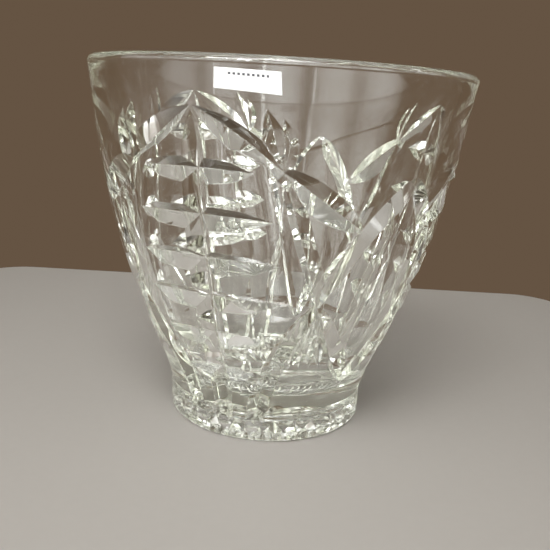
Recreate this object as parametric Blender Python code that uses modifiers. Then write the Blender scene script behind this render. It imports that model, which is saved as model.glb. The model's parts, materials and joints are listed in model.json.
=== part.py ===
"""A footed, wide-mouthed pressed-glass bar vessel with a cut-style pattern, and the stock label on its wall.

Metres, +Z up. The origin is the centre of the circle that the foot stands on. The front is towards -Y.
"""

import math

import bpy
import bmesh
import numpy as np
from mathutils import Vector

# Driving dimensions of the turned body.
HEIGHT = 0.130
FOOT_RADIUS = 0.0375
FOOT_HEIGHT = 0.0100
FOOT_EDGE = 0.0014  # rounding of the foot's lower edge
RING_INNER = 0.0275  # the flat ring that the glass stands on runs from here to the rounded edge
PUNT_RISE = 0.0026  # hollow under the base
NECK_RADIUS = 0.0373
BOWL_BOTTOM = 0.0120
FLOOR_HEIGHT = 0.0165
FLOOR_RADIUS = 0.0210
FLOOR_CORNER_TOP = 0.0330  # height at which the rounded inner corner has become the wall

# (height, outside radius) and (height, wall thickness): smooth curves run through these.
OUTSIDE = ((0.0120, 0.0378), (0.0200, 0.0401), (0.0300, 0.0444), (0.0430, 0.0504), (0.0600, 0.0561),
           (0.0780, 0.0611), (0.0960, 0.0646), (0.1130, 0.0668), (HEIGHT, 0.0692))
WALL = ((0.0120, 0.0105), (0.0330, 0.0090), (0.0600, 0.0079), (0.0850, 0.0073), (0.1000, 0.0067),
        (0.1150, 0.0055), (HEIGHT, 0.0044))

TURN_STEPS = 60
WALL_STEPS = 9
ARC_STEPS = 4

# The pattern repeats three times round the glass. Places in it are (degrees from the middle of the ladder,
# share of HEIGHT), and each ladder's own turn is in degrees from the front, to the right seen from outside.
REPEATS = 3
LADDER_TURN = -22.3
APEX = (0.0, 0.892)
SHOULDER = (24.0, 0.754)
LENS_END = (49.0, 0.620)
CROSSING = (37.8, 0.432)
FAR_CROSSING = (120 - CROSSING[0], CROSSING[1])
LEAF_TOP = (63.5, 0.756)
LEAF_TIP = (63.0, 0.170)
LADDER_FOOT = (15.5, 0.060)
SPINE_END = (0.0, 0.045)
RUNG_HEIGHTS = (0.750, 0.639, 0.530, 0.427, 0.317, 0.206)
RUNG_ENDS = (19.5, 28.0, 33.0, 34.5, 28.0, 20.0)

# Half widths of the V cuts.
SPINE_CUT = 0.0042
RUNG_CUT = 0.0039
ARCH_CUT = 0.0039
LENS_CUT = 0.0049
CROSSING_CUT = 0.0040
LEAF_CUT = 0.0039
PALMETTE_CUT = 0.0036
V_SLOPE = 0.92  # depth over half width
LEAF_LEAN = 0.38  # how much wider than its half width a leaf's V is on the side towards the leaf
CLEARANCE = 0.0008  # how far a cutter stands out of the wall
RUN_OUT = 1.02  # a cut has left the wall this share before its two ends
FACET_TOP = 0.0040  # how far a facet's cutter stands out of the wall

# The label, on the outside just under the rim.
LABEL_TURN = -8.1
LABEL_WIDTH = 0.0185
LABEL_LOW, LABEL_HIGH = 0.1202, 0.1261
LABEL_THICKNESS = 0.0002
LABEL_GAP = 0.0002


def clear_scene():
    for obj in list(bpy.data.objects):
        bpy.data.objects.remove(obj, do_unlink=True)


def new_collection(name):
    collection = bpy.data.collections.new(name)
    bpy.context.scene.collection.children.link(collection)
    return collection


def plain_material(name, colour, roughness, transmission=0.0):
    material = bpy.data.materials.new(name)
    material.use_nodes = True
    shader = material.node_tree.nodes["Principled BSDF"]
    shader.inputs["Base Color"].default_value = (*colour, 1.0)
    shader.inputs["Roughness"].default_value = roughness
    shader.inputs["Metallic"].default_value = 0.0
    shader.inputs["Transmission Weight"].default_value = transmission
    return material


def along(stations, height):
    """The value at a height on the smooth curve (cubic Hermite) through (height, value) stations."""
    heights, values = np.array(stations).T
    slopes = np.gradient(values, heights)
    i = int(np.clip(np.searchsorted(heights, height) - 1, 0, len(heights) - 2))
    span = heights[i + 1] - heights[i]
    t = (height - heights[i]) / span
    rise = values[i + 1] - values[i]
    bend = (1 - t) * (slopes[i] * span - rise) - t * (slopes[i + 1] * span - rise)
    return float(values[i] + t * rise + t * (1 - t) * bend)


def outside_radius(height):
    return along(OUTSIDE, height)


def inside_radius(height):
    return outside_radius(height) - along(WALL, height)


def quarter_arc(centre, radii, start_degrees, end_degrees):
    """Points of an elliptical arc in the (radius, height) plane, both ends included."""
    turns = np.radians(np.linspace(start_degrees, end_degrees, ARC_STEPS))
    return [(centre[0] + radii[0] * math.cos(a), centre[1] + radii[1] * math.sin(a)) for a in turns]


def inner_outline():
    """From the centre of the inner floor up the inside to just under the rim."""
    corner_radius = inside_radius(FLOOR_CORNER_TOP) - FLOOR_RADIUS
    points = [(0.0, FLOOR_HEIGHT)]
    points += quarter_arc((FLOOR_RADIUS, FLOOR_CORNER_TOP),
                          (corner_radius, FLOOR_CORNER_TOP - FLOOR_HEIGHT), -90, 0)
    rim = along(WALL, HEIGHT) / 2
    heights = np.linspace(FLOOR_CORNER_TOP, HEIGHT - rim, WALL_STEPS)[1:-1]
    return points + [(inside_radius(h), h) for h in heights]


def rim_outline():
    rim = along(WALL, HEIGHT) / 2
    centre = (outside_radius(HEIGHT - rim) - rim, HEIGHT - rim)
    return quarter_arc(centre, (rim, rim), 180, 90) + quarter_arc(centre, (rim, rim), 90, 0)[1:]


def outer_outline():
    """From under the rim down the outside, round the foot and in to the middle of the base."""
    rim = along(WALL, HEIGHT) / 2
    heights = np.linspace(HEIGHT - rim, BOWL_BOTTOM, WALL_STEPS)[1:]
    points = [(outside_radius(h), h) for h in heights]
    points.append((NECK_RADIUS, FOOT_HEIGHT + 0.0008))
    points.append((FOOT_RADIUS - 0.0004, FOOT_HEIGHT - 0.0006))
    edge = (FOOT_RADIUS - FOOT_EDGE, FOOT_EDGE)
    points += quarter_arc(edge, (FOOT_EDGE, FOOT_EDGE), 0, -90)
    points.append((RING_INNER, 0.0))
    points.append((RING_INNER - PUNT_RISE, PUNT_RISE))
    points.append((0.0, PUNT_RISE))
    return points


def turned_body(name, outline, collection):
    mesh = bpy.data.meshes.new(name)
    mesh.from_pydata([(r, 0.0, z) for r, z in outline],
                     [(i, i + 1) for i in range(len(outline) - 1)], [])
    body = bpy.data.objects.new(name, mesh)
    collection.objects.link(body)
    screw = body.modifiers.new("turn", "SCREW")
    screw.axis = "Z"
    screw.steps = screw.render_steps = TURN_STEPS
    screw.use_merge_vertices = True
    screw.merge_threshold = 0.00001
    screw.use_smooth_shade = True
    return body


def wall_point(turn_degrees, share, lift=0.0):
    """A point on the outside wall, or lifted off it along its normal."""
    turn = math.radians(turn_degrees)
    height = share * HEIGHT
    step = 0.0005
    slope = (outside_radius(height + step) - outside_radius(height - step)) / (2 * step)
    out = Vector((math.sin(turn), -math.cos(turn), 0.0))
    normal = (out - Vector((0, 0, slope))).normalized()
    return out * outside_radius(height) + Vector((0, 0, height)) + normal * lift, normal


def through(points, shares):
    """Places on the smooth curve through a list of (degrees, share) points, at shares of its length."""
    table = np.array(points, float)
    steps = np.hypot(*(np.diff(table, axis=0) * (1.0, 110.0)).T)
    travelled = np.concatenate(([0.0], np.cumsum(steps))) / steps.sum()
    return [tuple(along(tuple(zip(travelled, column)), t) for column in table.T) for t in shares]


def prism_cutter(name, rows, collection):
    """A closed tool through cross-sections that all have the same number of corners."""
    mesh = bmesh.new()
    rings = [[mesh.verts.new(corner) for corner in row] for row in rows]
    count = len(rings[0])
    for first, second in zip(rings, rings[1:]):
        for j in range(count):
            k = (j + 1) % count
            mesh.faces.new((first[j], first[k], second[k], second[j]))
    mesh.faces.new(rings[0])
    mesh.faces.new(rings[-1])
    bmesh.ops.triangulate(mesh, faces=mesh.faces[:])
    bmesh.ops.recalc_face_normals(mesh, faces=mesh.faces[:])
    data = bpy.data.meshes.new(name)
    mesh.to_mesh(data)
    mesh.free()
    cutter = bpy.data.objects.new(name, data)
    cutter.hide_render = True
    cutter.display_type = "WIRE"
    collection.objects.link(cutter)


class Pattern:
    """Makes the cutters of one repeat, mirrored about its ladder where asked."""

    def __init__(self, collection):
        self.collection = collection
        self.turn = 0.0
        self.tag = ""

    def cut(self, name, points, half_width, evenness=2.0, stations=7, mirror=1, lean=0.0):
        """A V cut along a curve on the wall: deepest half way, and out of the wall at both ends.

        A high evenness keeps it deep for longer. A positive lean widens its wall on the right of
        someone who travels down it, and narrows the other.
        """
        shares = np.linspace(0.0, 1.0, stations)
        middles = [wall_point(self.turn + mirror * turn, share) for turn, share in through(points, shares)]
        rows = []
        for i, t in enumerate(shares):
            place, normal = middles[i]
            ahead = middles[min(i + 1, stations - 1)][0] - middles[max(i - 1, 0)][0]
            side = normal.cross(ahead).normalized()
            deep = half_width * V_SLOPE * (1 - (abs(2 * t - 1) * RUN_OUT) ** evenness)
            spread = (CLEARANCE + deep) / V_SLOPE
            top = place + normal * CLEARANCE
            right = side * spread * (1 + lean)
            left = side * spread * (1 - lean)
            rows.append((place - normal * deep, top + right, top - left))
        prism_cutter(f"{name}_{self.tag}", rows, self.collection)

    def pair(self, name, points, half_width, evenness=2.0, stations=7):
        self.cut(f"{name}_left", points, half_width, evenness, stations, mirror=-1)
        self.cut(f"{name}_right", points, half_width, evenness, stations)

    def facet(self, name, near, far, near_lift, far_lift, mirror=1):
        """A flat facet between two curves on the wall, each sunk or raised by its lift."""
        shares = np.linspace(0.0, 1.0, len(near))
        rows = []
        for a, b in zip(through(near, shares), through(far, shares)):
            row = []
            for (turn, share), lift in ((a, near_lift), (b, far_lift), (b, FACET_TOP), (a, FACET_TOP)):
                row.append(wall_point(self.turn + mirror * turn, share, lift)[0])
            rows.append(row)
        prism_cutter(f"{name}_{self.tag}", rows, self.collection)


def ladder_cuts(pattern):
    """Spine and rungs of one ladder panel, and the two facets that slope away from it."""
    pattern.cut("spine", (APEX, SPINE_END), SPINE_CUT, evenness=8, stations=11)
    for i, (height, reach) in enumerate(zip(RUNG_HEIGHTS, RUNG_ENDS)):
        pattern.cut(f"rung_{i}", ((-reach, height), (0, height), (reach, height)), RUNG_CUT, evenness=2.3)
    line = ((9.0, 0.80), (12.0, 0.69), (14.5, 0.58), (16.0, 0.45), (14.5, 0.30), (9.5, 0.14))
    edge = ((16.0, 0.80), (26.5, 0.69), (31.5, 0.58), (36.5, 0.45), (27.0, 0.30), (18.0, 0.14))
    pattern.facet("slope_left", line, edge, 0.0001, -0.0015, mirror=-1)
    pattern.facet("slope_right", line, edge, 0.0001, -0.0015)


def arch_cuts(pattern):
    """Pointed arch over a ladder, the lens that goes on from each shoulder, and the palmette above it."""
    pattern.pair("arch", (APEX, (12.2, 0.825), SHOULDER, (29.0, 0.724)), ARCH_CUT, evenness=2.4)
    pattern.pair("lens", ((20.0, 0.776), SHOULDER, (36.5, 0.684), LENS_END), LENS_CUT, evenness=2.2)
    pattern.pair("palmette", ((19.0, 0.892), (20.6, 0.843), SHOULDER, (25.0, 0.725)), PALMETTE_CUT,
                 stations=5)


def crossing_cuts(pattern):
    """The two long cuts beside a ladder: from its shoulder to the crossing, and on down to its foot."""
    pattern.pair("long_upper", ((22.4, 0.790), SHOULDER, (30.0, 0.605), CROSSING, (38.6, 0.405)),
                 CROSSING_CUT, evenness=4)
    pattern.pair("long_lower", ((39.0, 0.450), CROSSING, (28.5, 0.31), LADDER_FOOT),
                 CROSSING_CUT, evenness=5)


def leaf_cuts(pattern):
    """The four V cuts round a leaf panel, and the three facets between them."""
    flanks = {
        "upper_left": (LEAF_TOP, (50.5, 0.632), CROSSING),
        "upper_right": (LEAF_TOP, (76.0, 0.610), FAR_CROSSING),
        "lower_left": (CROSSING, (50.5, 0.268), LEAF_TIP),
        "lower_right": (FAR_CROSSING, (74.0, 0.268), LEAF_TIP),
    }
    for name, points in flanks.items():
        lean = LEAF_LEAN if name.endswith("left") else -LEAF_LEAN
        pattern.cut(f"leaf_{name}", points, LEAF_CUT, evenness=6, lean=lean)
    left = ((62.0, 0.735), (50.5, 0.62), (40.0, 0.46), (50.5, 0.27), (61.0, 0.19))
    ridge = ((63.0, 0.720), (58.5, 0.60), (56.3, 0.47), (55.2, 0.36), (56.0, 0.22))
    second = ((64.0, 0.720), (66.5, 0.60), (66.3, 0.47), (61.5, 0.36), (58.0, 0.22))
    right = ((65.0, 0.735), (76.0, 0.62), (84.0, 0.46), (74.5, 0.28), (65.0, 0.19))
    pattern.facet("leaf_left", left, ridge, -0.0008, 0.0001)
    pattern.facet("leaf_middle", ridge, second, 0.00005, -0.00035)
    pattern.facet("leaf_right", second, right, -0.00035, -0.0011)


def make_glass(parts, cutters):
    body = turned_body("glass_body", inner_outline() + rim_outline() + outer_outline(), parts)
    pattern = Pattern(cutters)
    for repeat in range(REPEATS):
        pattern.turn = LADDER_TURN + repeat * 360 / REPEATS
        pattern.tag = str(repeat)
        for family in (ladder_cuts, arch_cuts, crossing_cuts, leaf_cuts):
            family(pattern)
    cuts = body.modifiers.new("cuts", "BOOLEAN")
    cuts.operation = "DIFFERENCE"
    cuts.solver = "EXACT"
    cuts.operand_type = "COLLECTION"
    cuts.collection = cutters
    body.data.materials.append(plain_material("clear_glass", (0.93, 0.96, 0.94), 0.03, 1.0))
    return body


def make_label(parts):
    """A strip bent to the wall, thickened outwards."""
    mesh = bmesh.new()
    bmesh.ops.create_grid(mesh, x_segments=8, y_segments=2, size=0.5)
    half_turn = math.degrees(LABEL_WIDTH / 2 / outside_radius(LABEL_HIGH))
    for vert in mesh.verts:
        turn = LABEL_TURN + 2 * half_turn * vert.co.x
        height = LABEL_LOW + (LABEL_HIGH - LABEL_LOW) * (vert.co.y + 0.5)
        vert.co = wall_point(turn, height / HEIGHT, lift=LABEL_GAP)[0]
    data = bpy.data.meshes.new("stock_label")
    mesh.to_mesh(data)
    mesh.free()
    label = bpy.data.objects.new("stock_label", data)
    parts.objects.link(label)
    sheet = label.modifiers.new("paper", "SOLIDIFY")
    sheet.thickness = LABEL_THICKNESS
    sheet.offset = 1.0
    label.data.materials.append(plain_material("label_paper", (0.92, 0.92, 0.90), 0.75))
    return label


clear_scene()
glass_parts = new_collection("mixing_glass")
pattern_cutters = new_collection("pattern_cutters")
make_glass(glass_parts, pattern_cutters)
make_label(glass_parts)
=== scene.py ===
"""Looks of the pressed-glass bar vessel: a finely cut glass body, a paper stock label and a plain studio."""

import json
import math

import bmesh
import bpy
import numpy as np
from mathutils import Matrix, Vector

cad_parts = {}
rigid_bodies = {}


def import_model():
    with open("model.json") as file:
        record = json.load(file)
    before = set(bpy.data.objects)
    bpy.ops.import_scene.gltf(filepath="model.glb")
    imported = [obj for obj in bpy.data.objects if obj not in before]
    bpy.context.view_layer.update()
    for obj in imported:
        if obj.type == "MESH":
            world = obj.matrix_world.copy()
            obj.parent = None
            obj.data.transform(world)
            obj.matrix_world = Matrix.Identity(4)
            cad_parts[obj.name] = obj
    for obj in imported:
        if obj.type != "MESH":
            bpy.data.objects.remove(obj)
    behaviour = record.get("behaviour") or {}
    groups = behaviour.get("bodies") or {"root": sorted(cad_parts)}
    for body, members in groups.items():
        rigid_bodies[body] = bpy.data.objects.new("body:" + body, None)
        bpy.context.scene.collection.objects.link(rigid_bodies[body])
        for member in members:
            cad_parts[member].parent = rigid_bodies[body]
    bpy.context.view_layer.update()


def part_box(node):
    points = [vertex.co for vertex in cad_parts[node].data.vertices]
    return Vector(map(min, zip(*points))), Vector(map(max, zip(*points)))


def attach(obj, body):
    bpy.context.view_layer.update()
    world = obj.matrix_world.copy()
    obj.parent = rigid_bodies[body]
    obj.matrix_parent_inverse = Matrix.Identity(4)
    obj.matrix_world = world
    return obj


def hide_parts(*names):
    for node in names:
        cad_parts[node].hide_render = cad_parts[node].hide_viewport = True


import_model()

# ---------------------------------------------------------------- sizes, in metres
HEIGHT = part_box("glass_body")[1].z
FOOT_RADIUS = 0.0375
FOOT_HEIGHT = 0.0100
FOOT_EDGE = 0.0014  # radius of the foot's rounded lower edge
FOOT_SHOULDER = 0.0010  # radius of its rounded upper edge
FOOT_SHOULDER_DROP = 0.0022  # from the foot's top to the middle of that rounding
GROOVE_RADIUS = 0.0009  # of the small groove between the neck and the foot
GROOVE_OUT = 0.0007  # from the foot's side to the groove's middle
GROOVE_DROP = 0.0004  # of the groove's middle below halfway from the foot to the bowl
RING_INNER = 0.0275  # the flat ring that the glass stands on starts here
PUNT_RISE = 0.0026  # the hollow under the foot
PUNT_DOME = 0.0006  # its further rise towards the middle
PUNT_RADIUS = 0.0200  # where that rise starts
BOWL_BOTTOM = 0.0120
FLOOR_HEIGHT = 0.0165  # the inside of the bowl: a flat floor, a rounded corner, then the wall
FLOOR_RADIUS = 0.0210
FLOOR_CORNER_TOP = 0.0330
# (height, radius) stations of the outside, and (height, thickness) stations of the wall.
OUTSIDE = ((0.0120, 0.0378), (0.0200, 0.0401), (0.0300, 0.0444), (0.0430, 0.0504), (0.0600, 0.0561),
           (0.0780, 0.0611), (0.0960, 0.0646), (0.1130, 0.0668), (HEIGHT, 0.0692))
WALL = ((0.0120, 0.0105), (0.0330, 0.0090), (0.0600, 0.0079), (0.0850, 0.0073), (0.1000, 0.0067),
        (0.1150, 0.0055), (HEIGHT, 0.0044))

TURN_STEPS = 240
WALL_STEPS = 56
ARC_STEPS = 18
MERGE = 0.000005  # turned corners closer together than this become one

# ---------------------------------------------------------------- pattern
# Places on the wall are (degrees from the ladder's middle, share of HEIGHT).
REPEATS = 3
LADDER_TURN = -22.3
APEX = (0.0, 0.892)
SHOULDER = (24.0, 0.754)
LENS_END = (49.0, 0.620)
CROSSING = (37.8, 0.432)
FAR_CROSSING = (120 - CROSSING[0], CROSSING[1])
LEAF_TOP = (63.5, 0.756)
LEAF_TIP = (63.0, 0.170)
LADDER_FOOT = (14.5, 0.012)
SPINE_FOOT = (0.0, 0.005)
RUNG_HEIGHTS = (0.750, 0.639, 0.530, 0.427, 0.317, 0.206)
RUNG_ENDS = (19.5, 28.0, 33.0, 34.5, 28.0, 20.0)
V_SLOPE = 0.92  # depth of a cut over its half width


def along(stations, height):
    """The value at a height on the smooth curve (cubic Hermite) through (height, value) stations."""
    heights, values = np.array(stations).T
    slopes = np.gradient(values, heights)
    i = int(np.clip(np.searchsorted(heights, height) - 1, 0, len(heights) - 2))
    span = heights[i + 1] - heights[i]
    t = (height - heights[i]) / span
    rise = values[i + 1] - values[i]
    bend = (1 - t) * (slopes[i] * span - rise) - t * (slopes[i + 1] * span - rise)
    return float(values[i] + t * rise + t * (1 - t) * bend)


def outside_radius(height):
    """Of the turned wall, before it is cut."""
    return along(OUTSIDE, height)


def inside_radius(height):
    return outside_radius(height) - along(WALL, height)


def arc(centre, radii, start_degrees, end_degrees, steps=ARC_STEPS):
    """Points on an arc of a circle, or of an ellipse where the two radii differ."""
    turns = np.radians(np.linspace(start_degrees, end_degrees, steps))
    return [(centre[0] + radii[0] * math.cos(a), centre[1] + radii[1] * math.sin(a)) for a in turns]


def glass_outline():
    """The whole section: up the inside, over the rim, down the outside, round the foot and under it."""
    rim = along(WALL, HEIGHT) / 2
    rim_centre = (outside_radius(HEIGHT - rim) - rim, HEIGHT - rim)
    corner_radius = inside_radius(FLOOR_CORNER_TOP) - FLOOR_RADIUS
    points = [(0.0, FLOOR_HEIGHT), (FLOOR_RADIUS / 2, FLOOR_HEIGHT)]
    points += arc((FLOOR_RADIUS, FLOOR_CORNER_TOP), (corner_radius, FLOOR_CORNER_TOP - FLOOR_HEIGHT), -90, 0)
    points += [(inside_radius(h), h) for h in np.linspace(FLOOR_CORNER_TOP, HEIGHT - rim, WALL_STEPS)[1:-1]]
    points += arc(rim_centre, (rim, rim), 180, 0, 2 * ARC_STEPS)
    points += [(outside_radius(h), h) for h in np.linspace(HEIGHT - rim, BOWL_BOTTOM, WALL_STEPS + 6)[1:]]
    groove = (FOOT_RADIUS + GROOVE_OUT, (BOWL_BOTTOM + FOOT_HEIGHT) / 2 - GROOVE_DROP)
    points += arc(groove, (GROOVE_RADIUS, GROOVE_RADIUS), 120, 240, 9)
    shoulder = (FOOT_RADIUS - FOOT_SHOULDER, FOOT_HEIGHT - FOOT_SHOULDER_DROP)
    points += arc(shoulder, (FOOT_SHOULDER, FOOT_SHOULDER), 60, 0, 7)
    points += arc((FOOT_RADIUS - FOOT_EDGE, FOOT_EDGE), (FOOT_EDGE, FOOT_EDGE), 0, -90, 10)
    points += arc((RING_INNER, PUNT_RISE), (PUNT_RISE, PUNT_RISE), -90, -180, 8)
    points += [(t * PUNT_RADIUS, PUNT_RISE + PUNT_DOME * (1 - t)) for t in (0.9, 0.45, 0.0)]
    return points


def turned(name, outline, steps):
    """An object whose modifier turns an outline of (radius, height) points about the axis."""
    mesh = bpy.data.meshes.new(name)
    mesh.from_pydata([(r, 0.0, z) for r, z in outline], [(i, i + 1) for i in range(len(outline) - 1)], [])
    body = bpy.data.objects.new(name, mesh)
    bpy.context.scene.collection.objects.link(body)
    screw = body.modifiers.new("turn", "SCREW")
    screw.axis = "Z"
    screw.steps = screw.render_steps = steps
    screw.use_merge_vertices = True
    screw.merge_threshold = MERGE
    return body


def applied(obj):
    """The same object with its modifiers made real."""
    graph = bpy.context.evaluated_depsgraph_get()
    mesh = bpy.data.meshes.new_from_object(obj.evaluated_get(graph))
    obj.modifiers.clear()
    obj.data = mesh
    return obj


# ---------------------------------------------------------------- cutters
CLEARANCE = 0.0008  # how far a tool stands out of the wall
FACET_CLEARANCE = 0.0040  # the same for the wider tools of the facets
CUT_SLOT = 1  # material slot that marks the faces a cutter leaves; the others are in slot 0
DEGREES_PER_HEIGHT = 110.0  # degrees round the upper wall that are about as long as HEIGHT


def wall_point(turn_degrees, share, lift=0.0):
    """A point on the outside wall, or at a lift from it, and the wall's normal there."""
    turn = math.radians(turn_degrees)
    height = share * HEIGHT
    step = 0.0005
    slope = (outside_radius(height + step) - outside_radius(height - step)) / (2 * step)
    out = Vector((math.sin(turn), -math.cos(turn), 0.0))
    normal = (out - Vector((0, 0, slope))).normalized()
    return out * outside_radius(height) + Vector((0, 0, height)) + normal * lift, normal


def add_empty_slots(data):
    for _ in range(CUT_SLOT + 1):
        data.materials.append(None)


def prism_cutter(name, rows, collection):
    """A closed tool through cross-sections that all have the same number of corners."""
    mesh = bmesh.new()
    rings = [[mesh.verts.new(corner) for corner in row] for row in rows]
    count = len(rings[0])
    for first, second in zip(rings, rings[1:]):
        for j in range(count):
            k = (j + 1) % count
            mesh.faces.new((first[j], first[k], second[k], second[j]))
    mesh.faces.new(rings[0])
    mesh.faces.new(rings[-1])
    bmesh.ops.triangulate(mesh, faces=mesh.faces[:])
    bmesh.ops.recalc_face_normals(mesh, faces=mesh.faces[:])
    for face in mesh.faces:
        face.material_index = CUT_SLOT
    data = bpy.data.meshes.new(name)
    mesh.to_mesh(data)
    mesh.free()
    add_empty_slots(data)
    collection.objects.link(bpy.data.objects.new(name, data))


def v_cutter(name, middles, half_width, depth, profile, collection, lean=0.0):
    """A V tool swept through (point, outward normal) pairs; profile gives each one's share of the depth.

    Seen from outside, a positive lean widens a downward V on its right side and narrows it on its left.
    """
    rows = []
    last = len(middles) - 1
    for i, (place, normal) in enumerate(middles):
        ahead = middles[min(i + 1, last)][0] - middles[max(i - 1, 0)][0]
        side = normal.cross(ahead).normalized()
        deep = depth * profile(i / last)
        spread = side * (half_width / depth * (CLEARANCE + deep))
        top = place + normal * CLEARANCE
        rows.append((place - normal * deep, top + spread * (1 + lean), top - spread * (1 - lean)))
    prism_cutter(name, rows, collection)


def lens_profile(evenness):
    """Shares of the depth along a cut that rises just clear of the wall at both ends.

    The higher the evenness, the further the full depth reaches.
    """
    return lambda t: 1 - (abs(2 * t - 1) * 1.02) ** evenness


def through(points, shares):
    """Points on the smooth curve through a list of (degrees, share) points, at equal steps of its length."""
    table = np.array(points, float)
    steps = np.hypot(*(np.diff(table, axis=0) * (1.0, DEGREES_PER_HEIGHT)).T)
    along_it = np.concatenate(([0.0], np.cumsum(steps))) / steps.sum()
    return [tuple(along(tuple(zip(along_it, column)), t) for column in table.T) for t in shares]


class Pattern:
    """Makes the cutters of the repeat whose ladder is at turn, mirrored about that ladder where asked."""

    def __init__(self, collection):
        self.collection = collection
        self.turn = 0.0
        self.count = 0

    def next_name(self):
        self.count += 1
        return f"cutter_{self.count}"

    def cut(self, points, half_width_mm, evenness=2.0, slope=V_SLOPE, stations=25, mirror=1, lean=0.0):
        """A V cut along the smooth curve through some places on the wall."""
        route = through(points, np.linspace(0.0, 1.0, stations))
        middles = [wall_point(self.turn + mirror * turn, share) for turn, share in route]
        width = half_width_mm / 1000
        profile = lens_profile(evenness)
        v_cutter(self.next_name(), middles, width, width * slope, profile, self.collection, lean * mirror)

    def pair(self, points, half_width_mm, evenness=2.0, slope=V_SLOPE, stations=25):
        for mirror in (-1, 1):
            self.cut(points, half_width_mm, evenness, slope, stations, mirror)

    def facet(self, near, far, near_lift_mm, far_lift_mm, stations=13, mirror=1):
        """A flat facet between two curves on the wall, each sunk or raised by its lift."""
        shares = np.linspace(0.0, 1.0, stations)
        near_lift, far_lift = near_lift_mm / 1000, far_lift_mm / 1000
        rows = []
        for a, b in zip(through(near, shares), through(far, shares)):
            section = ((a, near_lift), (b, far_lift), (b, FACET_CLEARANCE), (a, FACET_CLEARANCE))
            rows.append([wall_point(self.turn + mirror * turn, share, lift)[0]
                         for (turn, share), lift in section])
        prism_cutter(self.next_name(), rows, self.collection)


def ladder(pattern):
    """An upright spine with rungs across it, and a flat facet down each side."""
    pattern.cut((APEX, SPINE_FOOT), 4.2, evenness=8, stations=49)
    for height, reach in zip(RUNG_HEIGHTS, RUNG_ENDS):
        pattern.cut(((-reach, height), (0, height), (reach, height)), 3.9, evenness=2.3)
    line = ((9.0, 0.80), (12.0, 0.69), (14.5, 0.58), (16.0, 0.45), (14.5, 0.30), (9.5, 0.14))
    edge = ((16.0, 0.80), (26.5, 0.69), (31.5, 0.58), (36.5, 0.45), (27.0, 0.30), (18.0, 0.14))
    for mirror in (-1, 1):
        pattern.facet(line, edge, 0.05, -1.6, mirror=mirror)


def arch(pattern):
    """The pointed arch over the ladder, and the lens-shaped cuts that lead out from its shoulders."""
    pattern.pair((APEX, (12.2, 0.825), SHOULDER, (29.0, 0.724)), 3.9, evenness=2.4)
    pattern.pair(((20.0, 0.776), SHOULDER, (36.5, 0.684), LENS_END), 4.9, evenness=2.2)


def crossings(pattern):
    """Long cuts from the shoulders to the crossings and on to the foot, with a fan under each crossing."""
    pattern.pair(((22.4, 0.790), SHOULDER, (30.0, 0.605), CROSSING, (38.6, 0.405)), 4.0, evenness=4)
    pattern.pair(((39.0, 0.450), CROSSING, (28.5, 0.31), LADDER_FOOT), 4.0, evenness=5)
    for reach in (31.0, 36.0, 40.5, 45.5):
        pattern.pair(((CROSSING[0], CROSSING[1] - 0.02), (reach, 0.235)), 1.6, evenness=2.2, slope=0.45)


def leaf(pattern):
    """A pointed leaf between two crossings: four edges round three long facets."""
    pattern.cut((LEAF_TOP, (50.5, 0.632), CROSSING), 3.9, evenness=6, lean=0.38)
    pattern.cut((LEAF_TOP, (76.0, 0.610), FAR_CROSSING), 3.9, evenness=6, lean=-0.38)
    pattern.cut((CROSSING, (50.5, 0.268), LEAF_TIP), 3.9, evenness=6, lean=0.38)
    pattern.cut((FAR_CROSSING, (74.0, 0.268), LEAF_TIP), 3.9, evenness=6, lean=-0.38)
    left = ((62.0, 0.735), (50.5, 0.62), (40.0, 0.46), (50.5, 0.27), (61.0, 0.19))
    ridge = ((63.0, 0.720), (58.5, 0.60), (56.3, 0.47), (55.2, 0.36), (56.0, 0.22))
    second = ((64.0, 0.720), (66.5, 0.60), (66.3, 0.47), (61.5, 0.36), (58.0, 0.22))
    right = ((65.0, 0.735), (76.0, 0.62), (84.0, 0.46), (74.5, 0.28), (65.0, 0.19))
    pattern.facet(left, ridge, -0.8, 0.1)
    pattern.facet(ridge, second, 0.05, -0.35)
    pattern.facet(second, right, -0.35, -1.1)


def palmettes(pattern):
    """Two small pointed petals on each shoulder."""
    pattern.pair(((19.0, 0.892), (20.6, 0.843), SHOULDER, (25.0, 0.725)), 3.6, evenness=2.2)
    pattern.pair(((23.2, 0.874), (25.0, 0.820), SHOULDER, (23.6, 0.730)), 2.6, evenness=2.2)


RAYS = 24
RAY_START = (0.0020, 0.0026)  # radius and height
RAY_END = (0.0290, 0.0014)
RAY_HALF_WIDTH = 0.0036
RAY_DEPTH = 0.0030
NICKS = 64
NICK_START = 0.0270  # radii; the nicks stop before the foot's rounded edge
NICK_END = FOOT_RADIUS - 0.0012
NICK_HALF_WIDTH = 0.0015
NICK_DEPTH = 0.0012
NICK_START_SWING = 0.0016  # the nicks vary a little in length and depth, as if ground by hand
NICK_DEPTH_SWING = 0.0004


def spoke(turn, start, end, stations):
    """(point, normal) pairs on a line outwards under the foot, from one (radius, height) to another."""
    out = Vector((math.sin(turn), -math.cos(turn), 0.0))
    down = Vector((0, 0, -1))
    places = np.linspace(start, end, stations)
    return [(out * radius + Vector((0, 0, height)), down) for radius, height in places]


def star(collection):
    """Rays cut into the hollow under the foot, with a ring of short nicks round them."""
    for ray in range(RAYS):
        route = spoke(2 * math.pi * (ray + 0.5) / RAYS, RAY_START, RAY_END, 15)
        v_cutter(f"ray_{ray}", route, RAY_HALF_WIDTH, RAY_DEPTH, lens_profile(3), collection)
    for nick in range(NICKS):
        start = NICK_START + NICK_START_SWING * math.sin(2.4 * nick)
        depth = NICK_DEPTH + NICK_DEPTH_SWING * math.sin(1.7 * nick)
        route = spoke(2 * math.pi * nick / NICKS, (start, 0.0), (NICK_END, 0.0), 9)
        v_cutter(f"nick_{nick}", route, NICK_HALF_WIDTH, depth, lens_profile(4), collection)


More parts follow.
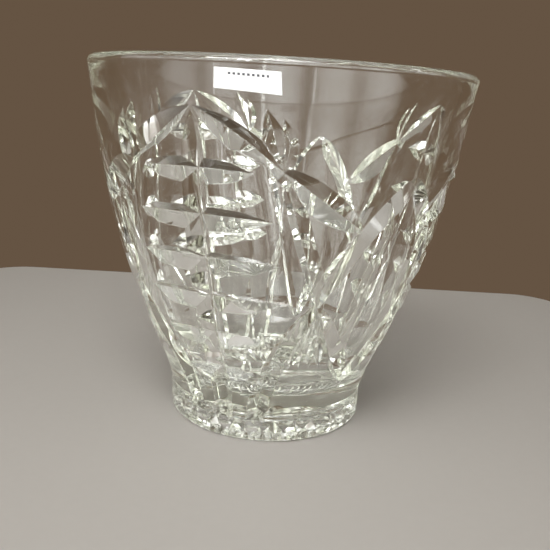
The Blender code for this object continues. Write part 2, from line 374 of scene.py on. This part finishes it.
# ---------------------------------------------------------------- shading normals
SHARP_COSINE = math.cos(math.radians(8))  # two faces at a greater angle meet in a sharp edge
POLISH_ROUNDS = 40
ON_WALL = 0.00004  # how near to the turned wall an uncut corner lies
EXACT_FROM = BOWL_BOTTOM + 0.001  # heights between which the uncut wall gets its exact normals
EXACT_TO = HEIGHT - 0.003


def read(items, name, kind=np.float32, width=1):
    """One property of all the items, as rows where it has more than one number."""
    values = np.zeros(len(items) * width, kind)
    items.foreach_get(name, values)
    return values.reshape(-1, width) if width > 1 else values


def unit(rows):
    return rows / np.maximum(np.linalg.norm(rows, axis=1, keepdims=True), 1e-12)


def summed(rows, places, count):
    """The rows added up by the place that each belongs to."""
    return np.stack([np.bincount(places, weights=column, minlength=count) for column in rows.T], axis=1)


def smooth_patches(edge_of, face_of, normals, cut):
    """A number for each face that it shares with the faces it runs on into without a sharp edge.

    Every edge has exactly two faces, because the body is closed.
    """
    order = np.argsort(edge_of, kind="stable")
    first, second = face_of[order[0::2]], face_of[order[1::2]]
    level = np.einsum("ij,ij->i", normals[first], normals[second]) > SHARP_COSINE
    joined = level & (cut[first] == cut[second])
    parent = list(range(len(normals)))

    def root(i):
        while parent[i] != i:
            parent[i] = parent[parent[i]]
            i = parent[i]
        return i

    for a, b in zip(first[joined].tolist(), second[joined].tolist()):
        parent[root(a)] = root(b)
    return np.array([root(i) for i in range(len(parent))])


def wall_normals(places):
    """The turned wall's exact normal for each place, and whether the place lies on that wall's outside."""
    heights = np.linspace(BOWL_BOTTOM, HEIGHT, 800)
    radii = np.array([outside_radius(height) for height in heights])
    x, y, z = places.T
    radius = np.hypot(x, y)
    slope = np.interp(z, heights, np.gradient(radii, heights))
    exact = unit(np.stack([x, y, -slope * radius], axis=1))
    on_wall = np.abs(radius - np.interp(z, heights, radii)) < ON_WALL
    return exact, on_wall & (z > EXACT_FROM) & (z < EXACT_TO)


def polish(mesh):
    """Evens out the shading normals over each cut facet, and gives the uncut wall its exact ones."""
    face_count = len(mesh.polygons)
    normals, areas = read(mesh.polygons, "normal", width=3), read(mesh.polygons, "area")
    cut = read(mesh.polygons, "material_index", np.int32) == CUT_SLOT
    face_of = np.repeat(np.arange(face_count), read(mesh.polygons, "loop_total", np.int32))
    vertex_of, edge_of = read(mesh.loops, "vertex_index", np.int32), read(mesh.loops, "edge_index", np.int32)
    patch_of = smooth_patches(edge_of, face_of, normals, cut)
    keys = vertex_of.astype(np.int64) * face_count + patch_of[face_of]
    _, firsts, corner_of = np.unique(keys, return_index=True, return_inverse=True)
    count = len(firsts)
    start = unit(summed((normals * areas[:, None])[face_of], corner_of, count))
    smooth = start
    for _ in range(POLISH_ROUNDS):
        faces = unit(summed(smooth[corner_of], face_of, face_count))
        smooth = unit(summed((faces * areas[:, None])[face_of], corner_of, count))
    exact, walled = wall_normals(read(mesh.vertices, "co", width=3)[vertex_of[firsts]])
    was_cut = cut[face_of[firsts]]
    final = np.where(was_cut[:, None], smooth, np.where(walled[:, None], exact, start))
    mesh.normals_split_custom_set(final[corner_of].tolist())


# ---------------------------------------------------------------- glass body
SLIVER = 0.000002  # corners closer together than this become one


def pattern_cutters():
    """A collection of all the tools that cut the wall's pattern and the star."""
    cutters = bpy.data.collections.new("cutters")
    bpy.context.scene.collection.children.link(cutters)
    pattern = Pattern(cutters)
    for repeat in range(REPEATS):
        pattern.turn = LADDER_TURN + repeat * 360 / REPEATS
        for family in (ladder, arch, crossings, leaf, palmettes):
            family(pattern)
    star(cutters)
    return cutters


def cut_away(body, cutters):
    """Cuts the tools out of the body, and removes them."""
    cuts = body.modifiers.new("cuts", "BOOLEAN")
    cuts.operation = "DIFFERENCE"
    cuts.solver = "MANIFOLD"
    cuts.operand_type = "COLLECTION"
    cuts.collection = cutters
    applied(body)
    for cutter in list(cutters.objects):
        bpy.data.objects.remove(cutter, do_unlink=True)
    bpy.data.collections.remove(cutters)


def close_slivers(mesh):
    """Removes the slivers that the cutting left."""
    work = bmesh.new()
    work.from_mesh(mesh)
    bmesh.ops.dissolve_degenerate(work, dist=SLIVER, edges=work.edges[:])
    work.to_mesh(mesh)
    work.free()


def make_body():
    body = applied(turned("cut_glass", glass_outline(), TURN_STEPS))
    add_empty_slots(body.data)
    cut_away(body, pattern_cutters())
    close_slivers(body.data)
    body.data.shade_smooth()
    polish(body.data)
    for face in body.data.polygons:
        face.material_index = 0
    return body


# ---------------------------------------------------------------- materials
EDGE_ROUNDING = 0.00045  # how widely the edges of the cuts look rounded
RIPPLE_HEIGHT = 0.0010


def new_material(name):
    """A material with its nodes, its links and its main shader."""
    material = bpy.data.materials.new(name)
    material.use_nodes = True
    nodes, links = material.node_tree.nodes, material.node_tree.links
    return material, nodes, links, nodes["Principled BSDF"]


def glass_material():
    """Clear glass with softened edges, a faint ripple, and a grey-green tint where it is thick."""
    material, nodes, links, shader = new_material("clear_pressed_glass")
    shader.inputs["Base Color"].default_value = (0.985, 0.985, 0.975, 1)
    shader.inputs["Roughness"].default_value = 0.0
    shader.inputs["IOR"].default_value = 1.52
    shader.inputs["Transmission Weight"].default_value = 1.0
    place = nodes.new("ShaderNodeTexCoord")
    waves = nodes.new("ShaderNodeTexNoise")
    waves.inputs["Scale"].default_value = 30.0
    waves.inputs["Detail"].default_value = 1.0
    edges = nodes.new("ShaderNodeBevel")
    edges.samples = 4
    edges.inputs["Radius"].default_value = EDGE_ROUNDING
    bump = nodes.new("ShaderNodeBump")
    bump.inputs["Strength"].default_value = 0.02
    bump.inputs["Distance"].default_value = RIPPLE_HEIGHT
    links.new(place.outputs["Object"], waves.inputs["Vector"])
    links.new(waves.outputs["Fac"], bump.inputs["Height"])
    links.new(edges.outputs["Normal"], bump.inputs["Normal"])
    links.new(bump.outputs["Normal"], shader.inputs["Normal"])
    depth = nodes.new("ShaderNodeVolumeAbsorption")
    depth.inputs["Color"].default_value = (0.84, 0.89, 0.68, 1)
    depth.inputs["Density"].default_value = 5.0
    links.new(depth.outputs["Volume"], nodes["Material Output"].inputs["Volume"])
    return material


def plain_material(name, colour, roughness):
    """A matt colour with the faintest of mottling."""
    material, nodes, links, shader = new_material(name)
    place = nodes.new("ShaderNodeTexCoord")
    noise = nodes.new("ShaderNodeTexNoise")
    noise.inputs["Scale"].default_value = 300.0
    mix = nodes.new("ShaderNodeMix")
    mix.data_type = "RGBA"
    mix.inputs["A"].default_value = (*[c * 0.97 for c in colour], 1)
    mix.inputs["B"].default_value = (*colour, 1)
    links.new(place.outputs["Object"], noise.inputs["Vector"])
    links.new(noise.outputs["Fac"], mix.inputs["Factor"])
    links.new(mix.outputs["Result"], shader.inputs["Base Color"])
    shader.inputs["Roughness"].default_value = roughness
    return material


# ---------------------------------------------------------------- label
# The lower and the upper corner of each end: (degrees from the front, share of HEIGHT).
LABEL_LEFT = ((-16.1, 0.9285), (-15.9, 0.971))
LABEL_RIGHT = ((0.1, 0.9205), (-0.4, 0.9675))
PAPER_THICKNESS = 0.00012
PAPER_LIFT = 0.00006  # off the glass
PAPER_CURL = 0.00030  # further lift at the lower right corner
PAPER_CURL_LEFT = 0.35  # share of it at the lower left corner
PAPER_CURL_FADE = 3.5  # it is gone 1 / 3.5 of the way up the label
# The row of dashes, in shares of the label's width and height.
DASHES_PER_WIDTH = 14.0
DASH_LENGTH = 0.55  # share of the dashes' pitch
DASH_ROW_MIDDLE = (0.50, 0.76)
DASH_ROW_HALF = (0.32, 0.055)


def maths(nodes, links, operation, *values):
    """The output of a new math node fed with numbers and other nodes' outputs."""
    node = nodes.new("ShaderNodeMath")
    node.operation = operation
    for socket, value in zip(node.inputs, values):
        if isinstance(value, (int, float)):
            socket.default_value = value
        else:
            links.new(value, socket)
    return node.outputs["Value"]


def dashes(nodes, links, across, up):
    """1 on a row of nine short dashes across the upper part of the label, and 0 elsewhere."""
    phase = maths(nodes, links, "FRACT", maths(nodes, links, "MULTIPLY", across, DASHES_PER_WIDTH))
    dash = maths(nodes, links, "LESS_THAN", phase, DASH_LENGTH)
    wide = maths(nodes, links, "COMPARE", across, DASH_ROW_MIDDLE[0], DASH_ROW_HALF[0])
    high = maths(nodes, links, "COMPARE", up, DASH_ROW_MIDDLE[1], DASH_ROW_HALF[1])
    return maths(nodes, links, "MULTIPLY", dash, maths(nodes, links, "MULTIPLY", high, wide))


def label_material():
    """White paper that lets a little light through, with faint fibres and a row of plain printed dashes."""
    material, nodes, links, shader = new_material("label_paper")
    place = nodes.new("ShaderNodeTexCoord")
    fibres = nodes.new("ShaderNodeTexNoise")
    fibres.inputs["Scale"].default_value = 900.0
    fibres.inputs["Detail"].default_value = 6.0
    links.new(place.outputs["Object"], fibres.inputs["Vector"])
    paper = nodes.new("ShaderNodeMix")
    paper.data_type = "RGBA"
    paper.inputs["A"].default_value = (0.86, 0.86, 0.85, 1)
    paper.inputs["B"].default_value = (0.93, 0.93, 0.92, 1)
    links.new(fibres.outputs["Fac"], paper.inputs["Factor"])
    bump = nodes.new("ShaderNodeBump")
    bump.inputs["Strength"].default_value = 0.25
    bump.inputs["Distance"].default_value = 0.0001
    links.new(fibres.outputs["Fac"], bump.inputs["Height"])
    links.new(bump.outputs["Normal"], shader.inputs["Normal"])
    split = nodes.new("ShaderNodeSeparateXYZ")
    links.new(place.outputs["UV"], split.inputs["Vector"])
    ink = dashes(nodes, links, split.outputs["X"], split.outputs["Y"])
    printed = nodes.new("ShaderNodeMix")
    printed.data_type = "RGBA"
    printed.inputs["B"].default_value = (0.10, 0.10, 0.11, 1)
    links.new(ink, printed.inputs["Factor"])
    links.new(paper.outputs["Result"], printed.inputs["A"])
    links.new(printed.outputs["Result"], shader.inputs["Base Color"])
    shader.inputs["Roughness"].default_value = 0.65
    shader.inputs["Subsurface Weight"].default_value = 0.5
    shader.inputs["Subsurface Radius"].default_value = (1.0, 1.0, 1.0)
    shader.inputs["Subsurface Scale"].default_value = 0.0004
    return material


def between(first, second, t):
    """The point a share t of the way from the first to the second."""
    return [a + (b - a) * t for a, b in zip(first, second)]


def make_label():
    """A thin sheet on the wall whose lower edge lifts a little, most of all on the right."""
    mesh = bmesh.new()
    mesh.loops.layers.uv.new("UVMap")
    bmesh.ops.create_grid(mesh, x_segments=60, y_segments=20, size=0.5, calc_uvs=True)
    for vert in mesh.verts:
        across, up = vert.co.x + 0.5, vert.co.y + 0.5
        low = between(LABEL_LEFT[0], LABEL_RIGHT[0], across)
        high = between(LABEL_LEFT[1], LABEL_RIGHT[1], across)
        turn, share = between(low, high, up)
        curl = PAPER_CURL * max(0.0, 1 - PAPER_CURL_FADE * up) ** 2
        curl *= PAPER_CURL_LEFT + (1 - PAPER_CURL_LEFT) * across ** 3
        vert.co = wall_point(turn, share, lift=PAPER_LIFT + curl)[0]
    data = bpy.data.meshes.new("paper_label")
    mesh.to_mesh(data)
    mesh.free()
    data.shade_smooth()
    label = bpy.data.objects.new("paper_label", data)
    bpy.context.scene.collection.objects.link(label)
    sheet = label.modifiers.new("paper", "SOLIDIFY")
    sheet.thickness = PAPER_THICKNESS
    sheet.offset = 1.0
    label.data.materials.append(label_material())
    return applied(label)


# ---------------------------------------------------------------- studio
CAMERA_PLACE = (0.0, -2.0 * HEIGHT, 0.9116 * HEIGHT)
CAMERA_LENS = 44.93  # millimetres, on a sensor 36 wide
CAMERA_YAW = 0.005  # radians, to the right
CAMERA_PITCH = 0.2499  # downwards
CAMERA_ROLL = 0.0582
BOARD_THICKNESS = 0.012
BOARD_HALF = 0.19
BOARD_ROUNDING = 0.03
BOARD_GAP = 0.0003  # keeps its top clear of the foot's flat ring
SURROUNDINGS = (0.035, 0.025, 0.016)
# Direction, cosines between which the glow sets in and is full, and its colour.
GLOWS = (((0.0, 0.0, -1.0), -0.50, -0.15, (0.095, 0.063, 0.040)),
         ((-0.2, -1.0, 0.5), -0.3, 1.0, (0.26, 0.25, 0.23)),
         ((-1.0, -0.60, 0.20), 0.60, 1.0, (0.5, 0.5, 0.48)),
         ((0.0, -0.35, 1.0), 0.75, 1.0, (0.4, 0.4, 0.39)))
# Panels that light only the glass and its label: turn from the front in degrees, height, size, radiance.
PANELS = ((-80, 0.50, (1.3, 0.9), 3.0), (-40, 0.50, (1.3, 0.9), 3.5), (2, 0.50, (1.3, 0.9), 5.0),
          (42, 0.50, (1.3, 0.9), 3.5), (82, 0.50, (1.3, 0.9), 2.0),
          (-36, 1.45, (0.35, 0.35), 18.0), (14, 0.40, (0.10, 0.7), 8.0), (-24, 0.40, (0.06, 0.7), 5.0),
          (52, 0.45, (0.05, 0.7), 5.0), (10, 1.75, (1.2, 1.7), 8.0))
PANEL_DISTANCE = 1.6
PANEL_COLOUR = (0.95, 0.99, 1.0)
BOUNCES = 24  # enough for the light to get through all the cuts


def make_camera():
    """The photographer's view: slightly from above, with a small tilt of the camera."""
    data = bpy.data.cameras.new("camera")
    camera = bpy.data.objects.new("camera", data)
    bpy.context.scene.collection.objects.link(camera)
    data.lens = CAMERA_LENS
    data.sensor_width = 36.0
    data.clip_start = 0.01
    yaw, pitch, roll = CAMERA_YAW, CAMERA_PITCH, CAMERA_ROLL
    forward = Vector((math.sin(yaw) * math.cos(pitch), math.cos(yaw) * math.cos(pitch), -math.sin(pitch)))
    right = Vector((math.cos(yaw), -math.sin(yaw), 0.0))
    up = right.cross(forward)
    across = math.cos(roll) * right + math.sin(roll) * up
    upright = -math.sin(roll) * right + math.cos(roll) * up
    turn = Matrix((across, upright, -forward)).transposed().to_4x4()
    camera.matrix_world = Matrix.Translation(CAMERA_PLACE) @ turn
    bpy.context.scene.camera = camera


def soften(data):
    """Fades a panel's light from its middle, where the four shares multiply to 1 / 16, to its edges."""
    data.use_nodes = True
    nodes, links = data.node_tree.nodes, data.node_tree.links
    place = nodes.new("ShaderNodeNewGeometry")
    split = nodes.new("ShaderNodeSeparateXYZ")
    links.new(place.outputs["Parametric"], split.inputs["Vector"])
    fades = []
    for axis in ("X", "Y"):
        rest = maths(nodes, links, "SUBTRACT", 1.0, split.outputs[axis])
        fades.append(maths(nodes, links, "MULTIPLY", split.outputs[axis], rest))
    fade = maths(nodes, links, "MULTIPLY", *fades)
    links.new(maths(nodes, links, "MULTIPLY", fade, 16.0), nodes["Emission"].inputs["Strength"])


def area_light(name, place, target, size, radiance, receivers=None, colour=(1, 1, 1)):
    """A soft-edged panel facing the target; with receivers it lights only that collection's objects."""
    data = bpy.data.lights.new(name, "AREA")
    data.shape = "RECTANGLE"
    data.size, data.size_y = size
    data.energy = radiance * math.pi * size[0] * size[1]
    data.color = colour
    light = bpy.data.objects.new(name, data)
    bpy.context.scene.collection.objects.link(light)
    light.location = place
    light.rotation_euler = (Vector(target) - Vector(place)).to_track_quat("-Z", "Y").to_euler()
    light.visible_camera = False
    soften(data)
    if receivers:
        light.light_linking.receiver_collection = receivers


def make_floor():
    """A pale board with rounded corners, under the foot."""
    inner = BOARD_HALF - BOARD_ROUNDING
    outline = []
    for x, y, start in ((1, 1, 0), (-1, 1, 90), (-1, -1, 180), (1, -1, 270)):
        outline += arc((x * inner, y * inner), (BOARD_ROUNDING, BOARD_ROUNDING), start, start + 90)
    mesh = bmesh.new()
    face = mesh.faces.new([mesh.verts.new((x, y, -BOARD_THICKNESS)) for x, y in outline])
    top = bmesh.ops.extrude_face_region(mesh, geom=[face])["geom"]
    lift = BOARD_THICKNESS - BOARD_GAP
    bmesh.ops.translate(mesh, vec=(0, 0, lift), verts=[v for v in top if isinstance(v, bmesh.types.BMVert)])
    bmesh.ops.recalc_face_normals(mesh, faces=mesh.faces[:])
    data = bpy.data.meshes.new("floor")
    mesh.to_mesh(data)
    mesh.free()
    data.materials.append(plain_material("floor_paint", (0.64, 0.61, 0.57), 0.6))
    floor = bpy.data.objects.new("floor", data)
    bpy.context.scene.collection.objects.link(floor)


def make_world():
    """Dim warm surroundings, lighter low down and softly so towards the front, the left and overhead."""
    world = bpy.data.worlds.new("world")
    bpy.context.scene.world = world
    world.use_nodes = True
    nodes, links = world.node_tree.nodes, world.node_tree.links
    place = nodes.new("ShaderNodeTexCoord")
    total = None
    for direction, start, full, colour in GLOWS:
        facing = nodes.new("ShaderNodeVectorMath")
        facing.operation = "DOT_PRODUCT"
        facing.inputs[1].default_value = Vector(direction).normalized()
        links.new(place.outputs["Generated"], facing.inputs[0])
        soft = nodes.new("ShaderNodeMapRange")
        soft.interpolation_type = "SMOOTHSTEP"
        soft.inputs["From Min"].default_value = start
        soft.inputs["From Max"].default_value = full
        links.new(facing.outputs["Value"], soft.inputs["Value"])
        glow = nodes.new("ShaderNodeMix")
        glow.data_type = "RGBA"
        glow.blend_type = "ADD"
        glow.inputs["A"].default_value = (*SURROUNDINGS, 1)
        glow.inputs["B"].default_value = (*colour, 1)
        links.new(soft.outputs["Result"], glow.inputs["Factor"])
        if total:
            links.new(total, glow.inputs["A"])
        total = glow.outputs["Result"]
    links.new(total, nodes["Background"].inputs["Color"])


def make_studio(pieces):
    """The floor, the surroundings and the lights; the panels light only the pieces."""
    make_floor()
    make_world()
    middle = (0, 0, HEIGHT / 2)
    lit = bpy.data.collections.new("lit_pieces")
    for piece in pieces:
        lit.objects.link(piece)
    area_light("floor_panel", (-0.08, -0.42, 0.62), target=(0, -0.16, 0), size=(0.45, 0.35), radiance=11)
    for number, (turn, height, size, radiance) in enumerate(PANELS):
        around = math.radians(turn)
        place = (PANEL_DISTANCE * math.sin(around), -PANEL_DISTANCE * math.cos(around), height)
        area_light(f"panel_{number}", place, middle, size, radiance, lit, PANEL_COLOUR)


glass = make_body()
glass.data.materials.clear()
glass.data.materials.append(glass_material())
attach(glass, "root")
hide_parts("glass_body")

label = make_label()
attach(label, "root")
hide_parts("stock_label")

make_camera()
make_studio((glass, label))
bpy.context.scene.view_settings.view_transform = "Standard"
bpy.context.scene.cycles.max_bounces = BOUNCES
bpy.context.scene.cycles.transmission_bounces = BOUNCES
bpy.context.scene.cycles.glossy_bounces = BOUNCES
